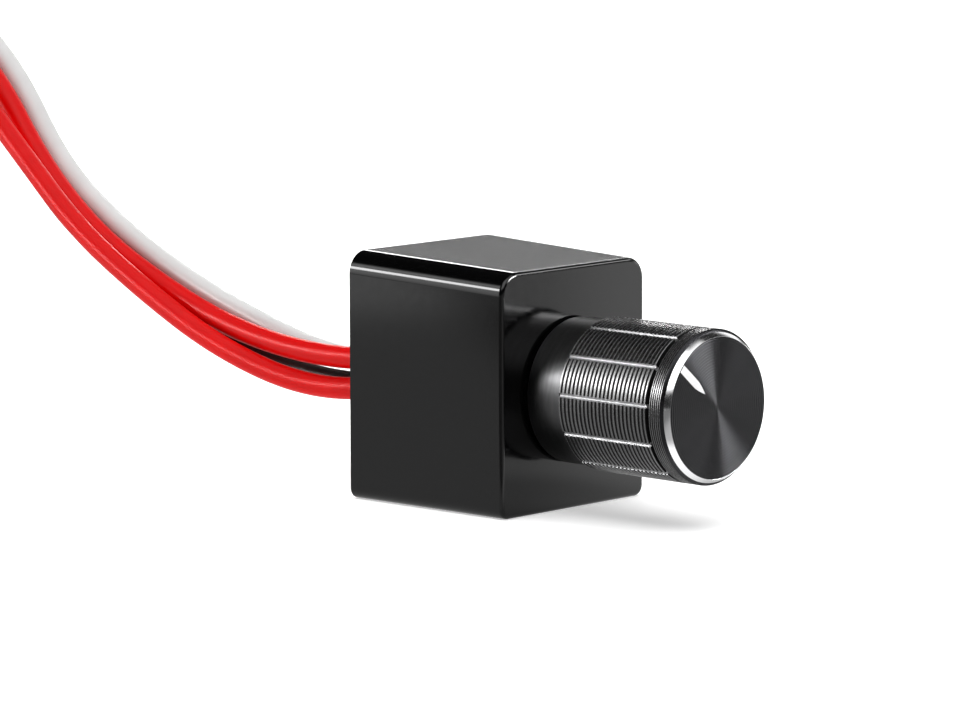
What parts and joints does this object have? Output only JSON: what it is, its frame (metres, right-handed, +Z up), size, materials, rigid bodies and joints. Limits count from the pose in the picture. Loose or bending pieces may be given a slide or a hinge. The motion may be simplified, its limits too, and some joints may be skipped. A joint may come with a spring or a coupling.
{
  "type": "rotary control unit",
  "caption": "Small black moulded control box with a ribbed aluminium rotary knob in front and coloured flying leads out of its back.",
  "frame": {"origin": "centre of the flat base of the box, on the surface it stands on", "axes": "+Z up, +Y from the knob to the back, +X to the right of a person facing the knob"},
  "size_m": [0.0264, 0.1726, 0.0444],
  "materials": {
    "housing_plastic": "gloss",
    "cover_plastic": "fine texture",
    "screw_steel": "zinc plated",
    "zinc": "die cast, plated",
    "can_steel": "bright",
    "phenolic": "satin",
    "carbon": "matt",
    "silver_ink": "matt",
    "tinned_brass": "bright",
    "shaft_metal": "turned",
    "spring_steel": "bright",
    "carrier_plastic": "satin",
    "bronze": "bright",
    "nut_plating": "nickel plated",
    "black_anodised": "anodised, fine turned rings",
    "insert_plastic": "satin",
    "white_paint": "satin",
    "board_laminate": "solder mask",
    "solder": "bright",
    "epoxy": "moulded",
    "capacitor_can": "bright",
    "resistor_ceramic": "glazed",
    "grommet_rubber": "matt",
    "nylon": "satin",
    "red_pvc": "satin gloss",
    "white_pvc": "satin gloss",
    "black_pvc": "satin gloss",
    "tinned_copper": "tinned strands"
  },
  "bodies": {
    "housing": {"housing_shell": "housing_plastic", "rear_cover": "cover_plastic", "cover_screws": "screw_steel", "bushing_plate": "zinc", "pot_can": "can_steel", "pot_wafer": "phenolic", "carbon_track": "carbon", "collector_ring": "silver_ink", "pot_terminals": "tinned_brass", "bushing_washer": "spring_steel", "bushing_nut": "nut_plating", "circuit_board": "board_laminate", "solder_joints": "solder", "power_transistor": "epoxy", "control_chip": "epoxy", "flyback_diode": "epoxy", "storage_capacitor": "capacitor_can", "chip_resistors": "resistor_ceramic", "wire_grommet": "grommet_rubber", "cable_tie": "nylon", "red_lead_upper": "red_pvc", "red_lead_lower": "red_pvc", "white_lead": "white_pvc", "black_lead": "black_pvc", "red_lead_upper_end": "tinned_copper", "red_lead_lower_end": "tinned_copper", "white_lead_end": "tinned_copper", "black_lead_end": "tinned_copper"},
    "knob_rotor": {"knob_shell": "black_anodised", "knob_insert": "insert_plastic", "pointer_inlay": "white_paint", "pot_shaft": "shaft_metal", "shaft_clip": "spring_steel", "wiper_carrier": "carrier_plastic", "wiper_contact": "bronze"}
  },
  "joints": [
    {"name": "knob_turn", "type": "hinge", "parent": "housing", "child": "knob_rotor", "pos_m": [0, -0.01, 0.0118], "axis": [0, 1, 0], "range_deg": [-100, 200]}
  ]
}
